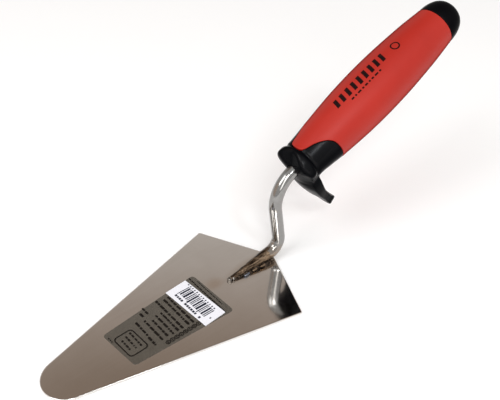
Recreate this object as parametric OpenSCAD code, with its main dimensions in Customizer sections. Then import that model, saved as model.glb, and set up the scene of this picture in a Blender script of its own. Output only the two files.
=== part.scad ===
// Brick trowel: a flat stainless blade with a rounded tip and a shallow V heel,
// a round steel neck bent like a swan's neck and welded to the blade's heel,
// and a moulded two-colour handle with a hooked finger guard at its front.
// X runs from the blade's tip to the handle, Y across the blade, Z up.
// The origin is the middle of the blade's flat underside.

/* [Blade] */
// Length of the blade from the tip to the point of the heel
blade_len = 160; // [145:1:190]
// Width of the blade across the heel corners
blade_w = 95; // [84:1:115]
// How far the heel corners lie ahead of the point of the heel
heel_set = 21; // [12:1:28]
// Radius of the rounded tip
tip_r = 15; // [11:0.5:19]
// Radius on each sheared heel corner
corner_r = 1; // [0.5:0.25:3]
// Thickness of the blade
blade_t = 1.5; // [1.2:0.1:2.4]
// Upward bend of the right heel corner, in degrees
corner_bend = 4; // [2:0.5:6]

/* [Neck] */
// Diameter of the round neck
neck_d = 8; // [7:0.5:9]
// Length of the pointed foot that is welded to the blade
foot_len = 31; // [24:1:36]
// How far the foot's thick end stops short of the heel point
foot_set = 4; // [3:0.5:7]
// Diameter at the foot's blunt point
foot_tip_d = 2.6; // [2:0.2:4]
// Centreline radius of the lower bend
low_bend_r = 9; // [8:0.5:12]
// Heading of the straight riser, in degrees above the blade towards the handle
riser_a = 98; // [92:1:102]
// Length of the straight riser
riser_len = 21; // [16:1:28]
// Centreline radius of the upper bend
top_bend_r = 21; // [18:1:26]
// Length of the tang inside the handle
tang_len = 58; // [45:1:70]
// Height of the tang above the handle's axis
tang_lift = 0.2; // [0:0.1:1]

/* [Handle] */
// Rise of the handle's axis above the blade's plane, in degrees
handle_a = 24.5; // [20:0.5:30]
// Largest radius of the grip
grip_r = 17.4; // [16.8:0.1:18.4]
// Radius at the front of the grip
grip_front_r = 13.4; // [13:0.1:14]
// Radius at the rear of the grip
grip_rear_r = 13.8; // [13.2:0.1:14.6]
// Wall of the soft sleeve
sleeve_t = 2.2; // [1.8:0.1:2.6]
// Wall of the hard core
core_t = 1.7; // [1.5:0.1:2.2]
// Distance from the handle's front face to the sleeve's rear end
grip_end = 133; // [127:1:137]
// Overall length of the handle
handle_len = 149.4; // [146:0.2:152]

/* [Guard] */
// Radius of the rounded collar at the front of the handle
collar_r = 14.2; // [13.6:0.1:14.6]
// Width of the finger guard at its root
guard_w = 22; // [18:1:24]
// Width of the finger guard at its tip
guard_tip_w = 9.8; // [8:0.2:12]
// Reach of the guard below the handle's axis
guard_reach = 48.5; // [45:0.5:51]

/* [Labels] */
// Thickness of the clear film
film_t = 0.15; // [0.1:0.05:0.3]
// Length of the clear film along the blade
film_len = 66; // [56:1:72]
// Width of the film at its heel end
film_w = 38; // [32:1:42]
// Width of the film at its tip end
film_tip_w = 28; // [22:1:30]
// Size of the paper label along the blade and across it
paper_len = 15; // [12:1:20]
// Size of the paper label across the blade
paper_w = 36; // [30:1:40]

/* [Hidden] */
$fn = 64;
eps = 0.01;

heel_x = blade_len / 2;              // point of the heel
neck_r = neck_d / 2;
foot_r = foot_tip_d / 2;

// ---- blade outline: corner points, then each corner's arc ----
tip_c = [-heel_x + tip_r, 0];
corner = [heel_x - heel_set, blade_w / 2];

// direction of the straight side seen from the corner to the tip's arc
side_v = tip_c - corner;
side_l = norm(side_v);
side_b = asin(tip_r / side_l);
side_u = side_v / side_l;
side_d = [side_u[0] * cos(side_b) - side_u[1] * sin(side_b) * -1,
          side_u[1] * cos(side_b) + side_u[0] * sin(side_b) * -1];
side_end = corner + side_d * side_l * cos(side_b);
heel_v = [heel_x, 0] - corner;
heel_d = heel_v / norm(heel_v);
// half the opening angle at the heel corner, and its small arc
corner_h = acos(side_d * heel_d) / 2;
corner_in = (side_d + heel_d) / norm(side_d + heel_d);
corner_c = corner + corner_in * corner_r / sin(corner_h);
corner_p = corner + side_d * corner_r / tan(corner_h);
corner_q = corner + heel_d * corner_r / tan(corner_h);

// ---- neck centreline in the XZ plane ----
foot_slope = atan((neck_r - foot_r) / foot_len);
foot_flat = 0.35;                    // ground off the underside of the foot
flat_d = 1;                           // depth of each flat on the tang
// the straight stretches run a little way into the bends, and are a hair thinner there
fit_l = 0.2;
fit_r = 0.02;
foot_end = [heel_x - foot_set, blade_t + neck_r - foot_flat];
foot_start = [foot_end[0] - foot_len * cos(foot_slope), foot_end[1] - foot_len * sin(foot_slope)];
low_c = foot_end + low_bend_r * [-sin(foot_slope), cos(foot_slope)];
low_end = low_c + low_bend_r * [sin(riser_a), -cos(riser_a)];
riser_end = low_end + riser_len * [cos(riser_a), sin(riser_a)];
top_c = riser_end + top_bend_r * [sin(riser_a), -cos(riser_a)];
top_end = top_c + top_bend_r * [-sin(handle_a), cos(handle_a)];

// ---- handle: its axis starts at the front face ----
ax = [cos(handle_a), sin(handle_a)];
ay = [-sin(handle_a), cos(handle_a)];
handle_p = top_end - tang_lift * ay;

// outer radius along the axis: [distance, radius] stations joined smoothly
st = [[0, grip_front_r + 0.2], [12, grip_front_r], [25, grip_front_r + 1.1], [40, grip_front_r + 2.5],
      [55, grip_r - 0.45], [72, grip_r], [88, grip_r - 0.2], [102, grip_r - 0.85],
      [118, grip_rear_r + 1.65], [grip_end, grip_rear_r], [grip_end + 12, grip_rear_r - 1.6]];
function seg_of(s, i = 0) = i >= len(st) - 2 || s < st[i + 1][0] ? i : seg_of(s, i + 1);
function slope_of(i) = i == 0 ? (st[1][1] - st[0][1]) / (st[1][0] - st[0][0])
    : i == len(st) - 1 ? (st[i][1] - st[i - 1][1]) / (st[i][0] - st[i - 1][0])
    : (st[i + 1][1] - st[i - 1][1]) / (st[i + 1][0] - st[i - 1][0]);
function outer_r(s) = let (i = seg_of(s), w = st[i + 1][0] - st[i][0], t = (s - st[i][0]) / w)
    (2 * t * t * t - 3 * t * t + 1) * st[i][1] + (t * t * t - 2 * t * t + t) * w * slope_of(i)
    + (3 * t * t - 2 * t * t * t) * st[i + 1][1] + (t * t * t - t * t) * w * slope_of(i + 1);

core_front = 5;                       // the core starts inside the collar
core_end = grip_end - 2;              // and stops inside the end cap
lobe_end = 29;                        // rear end of the guard's side lobes

// places a shape drawn with Z along the handle's axis and X upwards
module on_handle() {
    translate([handle_p[0], 0, handle_p[1]]) rotate([0, 90 - handle_a, 0]) rotate([0, 0, 180]) children();
}

// closed profile between two radii, from s0 to s1, with n steps
module shell(s0, s1, grow0, grow1, n) {
    rotate_extrude()
        polygon(concat(
            [for (i = [0 : n]) let (s = s0 + (s1 - s0) * i / n) [outer_r(s) + grow1, s]],
            [for (i = [n : -1 : 0]) let (s = s0 + (s1 - s0) * i / n) [grow0 <= -90 ? 0 : outer_r(s) + grow0, s]]));
}

// ---- blade ----
module blade_outline() {
    polygon([[heel_x, 0], corner_q, corner_p, side_end,
             [side_end[0], -side_end[1]], [corner_p[0], -corner_p[1]], [corner_q[0], -corner_q[1]]]);
    translate(tip_c) circle(tip_r);
    for (m = [1, -1]) translate([corner_c[0], m * corner_c[1]]) circle(corner_r);
}

// half plane beyond the bend line of the right heel corner
module bend_side(over = 0) {
    translate([heel_x, 0]) rotate(-135) translate([-40, -over]) square([160, 120]);
}

module blade() {
    color([0.58, 0.53, 0.49]) {
        difference() {
            linear_extrude(blade_t) blade_outline();
            translate([0, 0, -5]) linear_extrude(blade_t + 10) bend_side();
        }
        // the bent corner turns about the bend line on the underside
        translate([heel_x, 0, 0]) rotate(-135) rotate([corner_bend, 0, 0]) rotate(135) translate([-heel_x, 0, 0])
            linear_extrude(blade_t) intersection() {
                blade_outline();
                bend_side(0.05);
            }
    }
}

// ---- neck ----
// arc of the round bar about a centre in the XZ plane, from one polar angle through a sweep
module bar_arc(c, r, from, sweep, br) {
    translate([c[0], 0, c[1]]) rotate([90, 0, 0]) rotate(from)
        rotate_extrude(angle = sweep, $fn = 96) translate([r, 0]) circle(br, $fn = 48);
}
module bar(p, a, l, r0, r1) {
    translate([p[0], 0, p[1]]) rotate([0, 90 - a, 0]) cylinder(h = l, r1 = r0, r2 = r1, $fn = 48);
}
// pointed foot with a rounded end, drawn along its own axis
module foot() {
    translate([foot_start[0], 0, foot_start[1]]) rotate([0, 90 - foot_slope, 0])
        rotate_extrude($fn = 48) polygon(concat(
            [for (a = [0 : 15 : 75]) [foot_r * sin(a), foot_r - foot_r * cos(a)]],
            [[foot_r, foot_r], [neck_r - fit_r, foot_len], [neck_r - fit_r, foot_len + fit_l], [0, foot_len + fit_l]]));
}
module low_bend() bar_arc(low_c, low_bend_r, foot_slope - 90, riser_a - foot_slope, neck_r);
module top_bend() bar_arc(top_c, top_bend_r, handle_a + 90, riser_a - handle_a, neck_r);
// tang with two flats over its last part, so the handle cannot turn on it
module tang() {
    difference() {
        bar(top_end - fit_l * ax, handle_a, tang_len + fit_l, neck_r - fit_r, neck_r - fit_r);
        translate([top_end[0], 0, top_end[1]]) rotate([0, 90 - handle_a, 0])
            for (m = [0, 1]) mirror([0, m, 0])
                translate([-neck_r - 1, neck_r - flat_d, tang_len * 0.6]) cube([neck_d + 2, neck_r, tang_len]);
    }
}
// the space under the foot, down from the blade's top face
module under_foot() {
    translate([foot_start[0] - 10, -20, blade_t - 10]) cube([foot_len + 60, 40, 10]);
}
module neck_rod() {
    color([0.72, 0.71, 0.69]) difference() {
        union() {
            foot();
            low_bend();
            bar(low_end - fit_l * [cos(riser_a), sin(riser_a)], riser_a, riser_len + 2 * fit_l, neck_r - fit_r, neck_r - fit_r);
            top_bend();
            tang();
        }
        under_foot();
    }
}

// ---- welds: a round fillet along each side of the foot and a blob at its point ----
module weld_side(m) {
    difference() {
        hull() {
            translate([foot_start[0] + 3, m * (foot_r + 0.2), blade_t + 0.3]) sphere(1.2, $fn = 24);
            translate([foot_end[0] - 4, m * (neck_r - 0.4), blade_t + 0.6]) sphere(2, $fn = 24);
        }
        foot();
        low_bend();
        under_foot();
    }
}
module weld_left() color([0.40, 0.34, 0.28]) weld_side(1);
module weld_right() color([0.20, 0.16, 0.13]) weld_side(-1);
module weld_toe() {
    color([0.62, 0.56, 0.50]) difference() {
        translate([foot_start[0], 0, blade_t + 0.3]) sphere(2, $fn = 32);
        foot();
        under_foot();
        translate([foot_start[0] + 1.6, -5, 0]) cube([10, 10, 10]);
    }
}

// ---- handle ----
// opening for the tang through the front half of the handle
module tang_hole() tang();

module handle_core() {
    color([0.08, 0.08, 0.09]) difference() {
        union() {
            // hollow barrel, open at the rear where the end cap plugs in
            on_handle() difference() {
                shell(core_front + 4, core_end, -100, -sleeve_t, 30);
                shell(core_front + 14, core_end + 1, -100, -sleeve_t - core_t, 30);
            }
            // tube that grips the tang
            on_handle() translate([tang_lift, 0, core_front + 4])
                cylinder(h = tang_len - core_front - 2, r = neck_r + 1.8);
            // four ribs that tie the tube to the barrel
            on_handle() intersection() {
                shell(core_front + 13, core_front + 48, -100, -sleeve_t - core_t / 2, 12);
                union() for (a = [0, 90]) rotate(a)
                    translate([-20, -0.8, core_front + 13]) cube([40, 1.6, 34]);
            }
        }
        tang_hole();
    }
}

// side outline of the guard in the handle's own plane: [along the axis, above it]
guard_front = [[1.2, -8], [2.6, -17], [4.3, -24], [7.6, -32.6], [11.4, -guard_reach + 6.2], [13.5, -guard_reach + 1.4]];
guard_rear = [[19.2, -guard_reach + 1.8], [16.6, -guard_reach + 8.4], [13.6, -30.4], [11.9, -23], [11.8, -18], [13.6, -14.4], [13.6, -8]];
module guard_side() {
    polygon(concat(guard_front, [[14.6, -guard_reach + 0.3], [16.6, -guard_reach], [18.4, -guard_reach + 0.5]], guard_rear));
}
// front outline of the guard: [above the axis, across]
module guard_face() {
    polygon([[2, guard_w / 2], [-16, guard_w / 2], [-26, guard_w / 2 - 1.6], [-36, guard_tip_w / 2 + 1.9], [-guard_reach + 4, guard_tip_w / 2],
             [-guard_reach + 4, -guard_tip_w / 2], [-36, -guard_tip_w / 2 - 1.9], [-26, -guard_w / 2 + 1.6], [-16, -guard_w / 2], [2, -guard_w / 2]]);
    translate([-guard_reach + guard_tip_w / 2, 0]) circle(guard_tip_w / 2);
}
// top view of the sleeve's tongue: [along the axis, across]
tongue = [[14.4, 5.2], [17, 6.4], [20, 7.8], [23, 9.6], [25.5, 11.5], [27.5, 13.4], [lobe_end, 16.5], [lobe_end, 24]];
module tongue_prism() {
    // drawn along X, then turned so that X runs along the axis and it rises upwards
    mirror([1, 0, 0]) rotate([0, -90, 0]) linear_extrude(30) {
        polygon(concat(tongue, [[80, 24], [80, -24]],
                       [for (i = [len(tongue) - 1 : -1 : 0]) [tongue[i][0], -tongue[i][1]]]));
        translate([14.4, 0]) circle(5.2);
    }
}

// everything ahead of one slanted face of the collar's top
module ahead_of(m) {
    translate([0, 0, 1.6]) rotate([-15.6 * m, -21.3, 0]) translate([-30, -30, -30]) cube([60, 60, 30]);
}
// two faces that slope forwards and outwards and leave a valley above the neck
module collar_valley() {
    intersection() {
        ahead_of(1);
        ahead_of(-1);
    }
}

module front_guard() {
    color([0.05, 0.05, 0.06]) difference() {
        on_handle() difference() {
            union() {
                // rounded collar
                rotate_extrude() polygon(concat([[0, 0.2]],
                    [for (a = [-90 : 10 : 90]) [collar_r - 4.2 + 4.2 * cos(a), 4.4 + 4.2 * sin(a)]], [[0, 8.6]]));
                // side lobes, with a gap on top for the sleeve's tongue
                difference() {
                    shell(6.8, lobe_end, -100, 0, 10);
                    tongue_prism();
                }
                // disc under the tongue's tip
                translate([0, 0, 6]) cylinder(h = core_front - 2, r = outer_r(8) - sleeve_t);
                // hooked guard
                intersection() {
                    rotate([0, 0, -90]) rotate([0, -90, 0]) linear_extrude(30, center = true) guard_side();
                    translate([0, 0, -2]) linear_extrude(30) guard_face();
                }
            }
            // seat of the core
            shell(core_front + 4, lobe_end + 1, -100, -sleeve_t, 12);
            collar_valley();
        }
        tang_hole();
    }
}

module grip_sleeve() {
    color([0.78, 0.16, 0.12]) on_handle() difference() {
        shell(8.8, grip_end, -sleeve_t, 0, 50);
        difference() {
            translate([0, 0, -5]) cylinder(h = lobe_end + 5, r = 30);
            tongue_prism();
        }
    }
}

module end_cap() {
    n = 10;
    dome = handle_len - grip_end;
    color([0.05, 0.05, 0.06]) on_handle() {
        rotate_extrude() difference() {
            union() {
                polygon(concat([[0, grip_end]],
                    [for (i = [0 : n]) let (a = 90 * i / n) [grip_rear_r * pow(cos(a), 0.56), grip_end + dome * sin(a)]]));
                // spigot inside the core
                translate([0, core_end - 9]) square([grip_rear_r - sleeve_t - core_t, 12]);
            }
            // hollow
            translate([0, core_end - 10]) square([grip_rear_r - sleeve_t - core_t - 1.6, 15]);
        }
    }
}

// ---- labels ----
film_x = heel_x - 49.5;               // heel end of the film
module film_outline() {
    r = 2;
    for (m = [1, -1]) {
        translate([film_x - r, -1.2 + m * (film_w / 2 - r)]) circle(r);
        translate([film_x - film_len + r, -2 + m * (film_tip_w / 2 - r)]) circle(r);
    }
    polygon([[film_x, -1.2 + film_w / 2 - r], [film_x - r, -1.2 + film_w / 2],
             [film_x - film_len + r, -2 + film_tip_w / 2], [film_x - film_len, -2 + film_tip_w / 2 - r],
             [film_x - film_len, -2 - film_tip_w / 2 + r], [film_x - film_len + r, -2 - film_tip_w / 2],
             [film_x - r, -1.2 - film_w / 2], [film_x, -1.2 - film_w / 2 + r]]);
}
module film_label()
    color([0.55, 0.53, 0.48, 0.6]) translate([0, 0, blade_t]) linear_extrude(film_t) film_outline();
module paper_label()
    color([0.93, 0.93, 0.95]) translate([film_x - 5.2 - paper_len, -paper_w / 2 - 0.9, blade_t + film_t])
        cube([paper_len, paper_w, film_t]);

blade();
neck_rod();
weld_left();
weld_right();
weld_toe();
handle_core();
front_guard();
grip_sleeve();
end_cap();
film_label();
paper_label();
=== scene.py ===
import math
import bpy
import numpy as np
from mathutils import Matrix, Vector, noise
from mathutils.geometry import delaunay_2d_cdt


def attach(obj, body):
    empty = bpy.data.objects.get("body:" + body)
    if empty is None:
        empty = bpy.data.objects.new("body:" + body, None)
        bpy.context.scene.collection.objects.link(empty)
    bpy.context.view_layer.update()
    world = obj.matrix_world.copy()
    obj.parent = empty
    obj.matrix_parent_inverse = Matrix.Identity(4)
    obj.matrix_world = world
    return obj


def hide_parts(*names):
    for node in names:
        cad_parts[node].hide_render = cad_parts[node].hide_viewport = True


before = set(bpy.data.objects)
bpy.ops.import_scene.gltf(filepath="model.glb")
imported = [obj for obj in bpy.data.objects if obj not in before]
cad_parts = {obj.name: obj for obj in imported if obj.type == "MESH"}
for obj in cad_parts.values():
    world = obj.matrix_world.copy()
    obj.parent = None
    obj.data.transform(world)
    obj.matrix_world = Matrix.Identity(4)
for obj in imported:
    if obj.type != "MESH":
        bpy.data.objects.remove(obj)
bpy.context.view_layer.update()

# ---------------------------------------------------------------- sizes, in millimetres
BLADE_L, BLADE_W, HEEL_SET, TIP_R, BLADE_T = 160.0, 95.0, 21.0, 15.0, 1.5
HEEL_X = BLADE_L / 2
NECK_R, FOOT_L, FOOT_R = 4.0, 31.0, 1.3
LOW_R, RISER_A, RISER_L, TOP_R = 9.0, math.radians(98), 21.0, 21.0
TANG_L, TANG_LIFT, HANDLE_A = 58.0, 0.2, math.radians(24.5)
GRIP_END, HANDLE_L, SLEEVE_T = 133.0, 149.4, 2.2
FILM_T = 0.15

FOOT_A = math.atan((NECK_R - FOOT_R) / FOOT_L)
foot_end = np.array([HEEL_X - 4.0, BLADE_T + NECK_R - 0.35])
foot_start = foot_end - FOOT_L * np.array([math.cos(FOOT_A), math.sin(FOOT_A)])
low_c = foot_end + LOW_R * np.array([-math.sin(FOOT_A), math.cos(FOOT_A)])
low_end = low_c + LOW_R * np.array([math.sin(RISER_A), -math.cos(RISER_A)])
riser_end = low_end + RISER_L * np.array([math.cos(RISER_A), math.sin(RISER_A)])
top_c = riser_end + TOP_R * np.array([math.sin(RISER_A), -math.cos(RISER_A)])
top_end = top_c + TOP_R * np.array([-math.sin(HANDLE_A), math.cos(HANDLE_A)])
AX = np.array([math.cos(HANDLE_A), math.sin(HANDLE_A)])
AY = np.array([-math.sin(HANDLE_A), math.cos(HANDLE_A)])
handle_p = top_end - TANG_LIFT * AY


def on_handle(s, u, y):
    """Handle coordinates (along the axis, above it, across) to the row frame, in mm."""
    s, u, y = np.broadcast_arrays(s, u, y)
    return np.stack([handle_p[0] + s * AX[0] + u * AY[0], y + 0.0, handle_p[1] + s * AX[1] + u * AY[1]], -1)


# ---------------------------------------------------------------- mesh helpers
def add_mesh(name, verts, faces, mats, nodes=(), face_mat=None, sharp=None, smooth=True):
    me = bpy.data.meshes.new(name)
    me.from_pydata((np.asarray(verts, float) * 0.001).tolist(), [], [list(map(int, f)) for f in faces])
    me.validate()
    for m in (mats if isinstance(mats, (list, tuple)) else [mats]):
        me.materials.append(m)
    if face_mat is not None:
        me.polygons.foreach_set("material_index", np.asarray(face_mat, np.int32))
    me.polygons.foreach_set("use_smooth", np.full(len(me.polygons), smooth))
    if sharp is not None:
        me.set_sharp_from_angle(angle=math.radians(sharp))
    me.update()
    ob = bpy.data.objects.new(name, me)
    bpy.context.scene.collection.objects.link(ob)
    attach(ob, "root")
    if nodes:
        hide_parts(*nodes)
    return ob


def grid_faces(rows, cols, close_rows=False, close_cols=True, flip=False, base=0):
    """Quads of a rows x cols grid of points."""
    i = np.arange(rows if close_rows else rows - 1)
    j = np.arange(cols if close_cols else cols - 1)
    I, J = np.meshgrid(i, j, indexing="ij")
    a = I * cols + J
    b = I * cols + (J + 1) % cols
    c = ((I + 1) % rows) * cols + (J + 1) % cols
    d = ((I + 1) % rows) * cols + J
    q = np.stack([a, b, c, d], -1).reshape(-1, 4) + base
    return q[:, ::-1] if flip else q


def revolve(profile, n=96):
    """Closed surface of revolution about the handle's axis, from (s, r) points whose ends lie on the axis."""
    p = np.asarray(profile, float)
    inner = p[1:-1]
    th = np.arange(n) * 2 * math.pi / n
    s = np.repeat(inner[:, 0], n)
    r = np.repeat(inner[:, 1], n)
    t = np.tile(th, len(inner))
    v = on_handle(s, r * np.sin(t), r * np.cos(t))
    v = np.vstack([v, on_handle(p[0, 0], 0.0, 0.0).reshape(1, 3), on_handle(p[-1, 0], 0.0, 0.0).reshape(1, 3)])
    f = grid_faces(len(inner), n).tolist()
    a, b = len(v) - 2, len(v) - 1
    last = (len(inner) - 1) * n
    f += [[a, (j + 1) % n, j] for j in range(n)]
    f += [[b, last + j, last + (j + 1) % n] for j in range(n)]
    return v, f


def rounded_box(cx, cy, cz, lx, ly, lz, r, seg=4):
    """Flat block with rounded plan corners: used for print."""
    pts = []
    for qx, qy, a0 in ((1, 1, 0), (-1, 1, 90), (-1, -1, 180), (1, -1, 270)):
        for k in range(seg + 1):
            a = math.radians(a0 + 90 * k / seg)
            pts.append((qx * (lx / 2 - r) + r * math.cos(a), qy * (ly / 2 - r) + r * math.sin(a)))
    p = np.array(pts)
    return plate(p + [cx, cy], cz, cz + lz)


def plate(outline, z0, z1):
    """Closed flat plate from a convex or star-shaped outline (anticlockwise), as verts and faces."""
    n = len(outline)
    c = outline.mean(0)
    v = [(x, y, z0) for x, y in outline] + [(x, y, z1) for x, y in outline] + [(c[0], c[1], z0), (c[0], c[1], z1)]
    f = []
    for i in range(n):
        j = (i + 1) % n
        f.append([i, j, n + j, n + i])
        f.append([2 * n, j, i])
        f.append([2 * n + 1, n + i, n + j])
    return np.array(v), f


def join(parts):
    vs, fs, k = [], [], 0
    for v, f in parts:
        vs.append(v)
        fs += [[i + k for i in q] for q in f]
        k += len(v)
    return np.vstack(vs), fs


def fbm(p, scale, seed=0.0, octaves=3):
    """Deterministic noise, about -1 to 1, at points in mm."""
    out = np.zeros(len(p))
    amp, tot = 1.0, 0.0
    for o in range(octaves):
        k = scale * 2 ** o
        out += amp * np.array([noise.noise(Vector((x * k + seed, y * k - seed, z * k + 2 * seed))) for x, y, z in p])
        tot += amp
        amp *= 0.5
    return out / tot * 1.6


# ---------------------------------------------------------------- material helpers
def material(name):
    m = bpy.data.materials.new(name)
    m.use_nodes = True
    nt = m.node_tree
    return m, nt, nt.nodes["Principled BSDF"]


def node(nt, kind, **props):
    n = nt.nodes.new(kind)
    for k, v in props.items():
        if k.startswith("in_"):
            n.inputs[k[3:].replace("_", " ")].default_value = v
        else:
            setattr(n, k, v)
    return n


def coords(nt, scale=(1, 1, 1), rotation=(0, 0, 0)):
    """Object coordinates in millimetres, since every piece's origin is the row's origin."""
    tc = node(nt, "ShaderNodeTexCoord")
    mp = node(nt, "ShaderNodeMapping")
    mp.inputs["Scale"].default_value = [1000 * x for x in scale]
    mp.inputs["Rotation"].default_value = rotation
    nt.links.new(tc.outputs["Object"], mp.inputs["Vector"])
    return mp.outputs["Vector"]


def noise_tex(nt, vec, scale, detail=4.0, rough=0.5, dist=0.0):
    n = node(nt, "ShaderNodeTexNoise")
    n.inputs["Scale"].default_value = scale
    n.inputs["Detail"].default_value = detail
    n.inputs["Roughness"].default_value = rough
    n.inputs["Distortion"].default_value = dist
    nt.links.new(vec, n.inputs["Vector"])
    return n.outputs["Fac"]


def ramp(nt, fac, stops, mode="LINEAR"):
    r = node(nt, "ShaderNodeValToRGB")
    r.color_ramp.interpolation = mode
    e = r.color_ramp.elements
    while len(e) > 1:
        e.remove(e[-1])
    e[0].position, e[0].color = stops[0][0], stops[0][1]
    for pos, col in stops[1:]:
        x = e.new(pos)
        x.color = col
    nt.links.new(fac, r.inputs["Fac"])
    return r.outputs["Color"]


def grey(v, a=1.0):
    return (v, v, v, a)


def math_node(nt, op, a, b=None, clamp=False):
    n = node(nt, "ShaderNodeMath", operation=op, use_clamp=clamp)
    for k, x in enumerate((a, b)):
        if x is None:
            continue
        if isinstance(x, (int, float)):
            n.inputs[k].default_value = x
        else:
            nt.links.new(x, n.inputs[k])
    return n.outputs[0]


def mix_rgb(nt, fac, a, b, mode="MIX"):
    n = node(nt, "ShaderNodeMix", data_type="RGBA", blend_type=mode)
    for sock, x in ((n.inputs[0], fac), (n.inputs[6], a), (n.inputs[7], b)):
        if isinstance(x, (int, float)):
            sock.default_value = x
        elif isinstance(x, tuple):
            sock.default_value = x
        else:
            nt.links.new(x, sock)
    return n.outputs[2]


def bump(nt, height, strength, distance, normal=None):
    b = node(nt, "ShaderNodeBump")
    b.inputs["Strength"].default_value = strength
    b.inputs["Distance"].default_value = distance
    nt.links.new(height, b.inputs["Height"])
    if normal is not None:
        nt.links.new(normal, b.inputs["Normal"])
    return b.outputs["Normal"]


# ---------------------------------------------------------------- materials
def make_blade_steel():
    m, nt, b = material("blade_steel")
    b.inputs["Metallic"].default_value = 1.0
    # fine grinding along the blade: noise stretched along X
    fine = noise_tex(nt, coords(nt, (0.05, 3.0, 3.0)), 1.0, 6.0, 0.65)
    wide = noise_tex(nt, coords(nt, (0.012, 0.25, 0.25)), 1.0, 3.0, 0.5)
    spots = noise_tex(nt, coords(nt, (0.03, 0.03, 0.03)), 1.0, 3.0, 0.55)
    col = ramp(nt, spots, [(0.30, (0.74, 0.71, 0.68, 1)), (0.70, (0.80, 0.775, 0.75, 1))])
    # faint straw heat tint round the weld and just ahead of the foot's point
    tc = node(nt, "ShaderNodeTexCoord")
    def spot(x, y, rx, ry, soft):
        mp = node(nt, "ShaderNodeMapping")
        mp.vector_type = "TEXTURE"
        mp.inputs["Location"].default_value = (x * 0.001, y * 0.001, 0.0015)
        mp.inputs["Scale"].default_value = (rx * 0.001, ry * 0.001, 1.0)
        nt.links.new(tc.outputs["Object"], mp.inputs["Vector"])
        ln = node(nt, "ShaderNodeVectorMath", operation="LENGTH")
        nt.links.new(mp.outputs["Vector"], ln.inputs[0])
        r = node(nt, "ShaderNodeMapRange", interpolation_type="SMOOTHSTEP")
        r.inputs["From Min"].default_value = 1.0
        r.inputs["From Max"].default_value = 1.0 - soft
        nt.links.new(ln.outputs["Value"], r.inputs["Value"])
        return r.outputs["Result"]
    tint = spot(HEEL_X - 44.0, 4.0, 9.0, 7.0, 0.9)
    halo = spot(HEEL_X - 16.0, 0.0, 26.0, 9.5, 0.55)
    col = mix_rgb(nt, math_node(nt, "MULTIPLY", tint, 0.55), col, (0.62, 0.50, 0.40, 1))
    col = mix_rgb(nt, math_node(nt, "MULTIPLY", halo, 0.45), col, (0.50, 0.40, 0.31, 1))
    nt.links.new(col, b.inputs["Base Color"])
    ro = node(nt, "ShaderNodeMapRange")
    ro.inputs["To Min"].default_value = 0.055
    ro.inputs["To Max"].default_value = 0.12
    nt.links.new(wide, ro.inputs["Value"])
    scr = ramp(nt, fine, [(0.60, grey(0.0)), (0.72, grey(1.0))])
    nt.links.new(math_node(nt, "ADD", ro.outputs["Result"], math_node(nt, "MULTIPLY", scr, 0.05)), b.inputs["Roughness"])
    b.inputs["Anisotropic"].default_value = 0.25
    n1 = bump(nt, fine, 0.10, 0.00002)
    n2 = bump(nt, wide, 0.18, 0.00006, n1)
    nt.links.new(n2, b.inputs["Normal"])
    return m


def make_neck_steel():
    m, nt, b = material("neck_steel")
    b.inputs["Metallic"].default_value = 1.0
    v = noise_tex(nt, coords(nt, (0.5, 0.5, 0.5)), 1.0, 5.0, 0.6)
    ring = noise_tex(nt, coords(nt, (0.6, 0.6, 6.0)), 1.0, 4.0, 0.6)
    col = ramp(nt, v, [(0.3, (0.275, 0.270, 0.262, 1)), (0.7, (0.325, 0.32, 0.312, 1))])
    # heat tint from the weld fades out up the lower bend
    sp = node(nt, "ShaderNodeSeparateXYZ")
    tc = node(nt, "ShaderNodeTexCoord")
    nt.links.new(tc.outputs["Object"], sp.inputs[0])
    h = node(nt, "ShaderNodeMapRange", interpolation_type="SMOOTHSTEP")
    h.inputs["From Min"].default_value = 0.0135
    h.inputs["From Max"].default_value = 0.005
    nt.links.new(sp.outputs["Z"], h.inputs["Value"])
    tint = math_node(nt, "MULTIPLY", h.outputs["Result"], ramp(nt, v, [(0.35, grey(0.35)), (0.65, grey(0.9))]))
    col = mix_rgb(nt, tint, col, (0.30, 0.215, 0.145, 1))
    nt.links.new(col, b.inputs["Base Color"])
    ro = node(nt, "ShaderNodeMapRange")
    ro.inputs["To Min"].default_value = 0.09
    ro.inputs["To Max"].default_value = 0.16
    nt.links.new(ring, ro.inputs["Value"])
    nt.links.new(ro.outputs["Result"], b.inputs["Roughness"])
    nt.links.new(bump(nt, ring, 0.12, 0.00003), b.inputs["Normal"])
    return m


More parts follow.
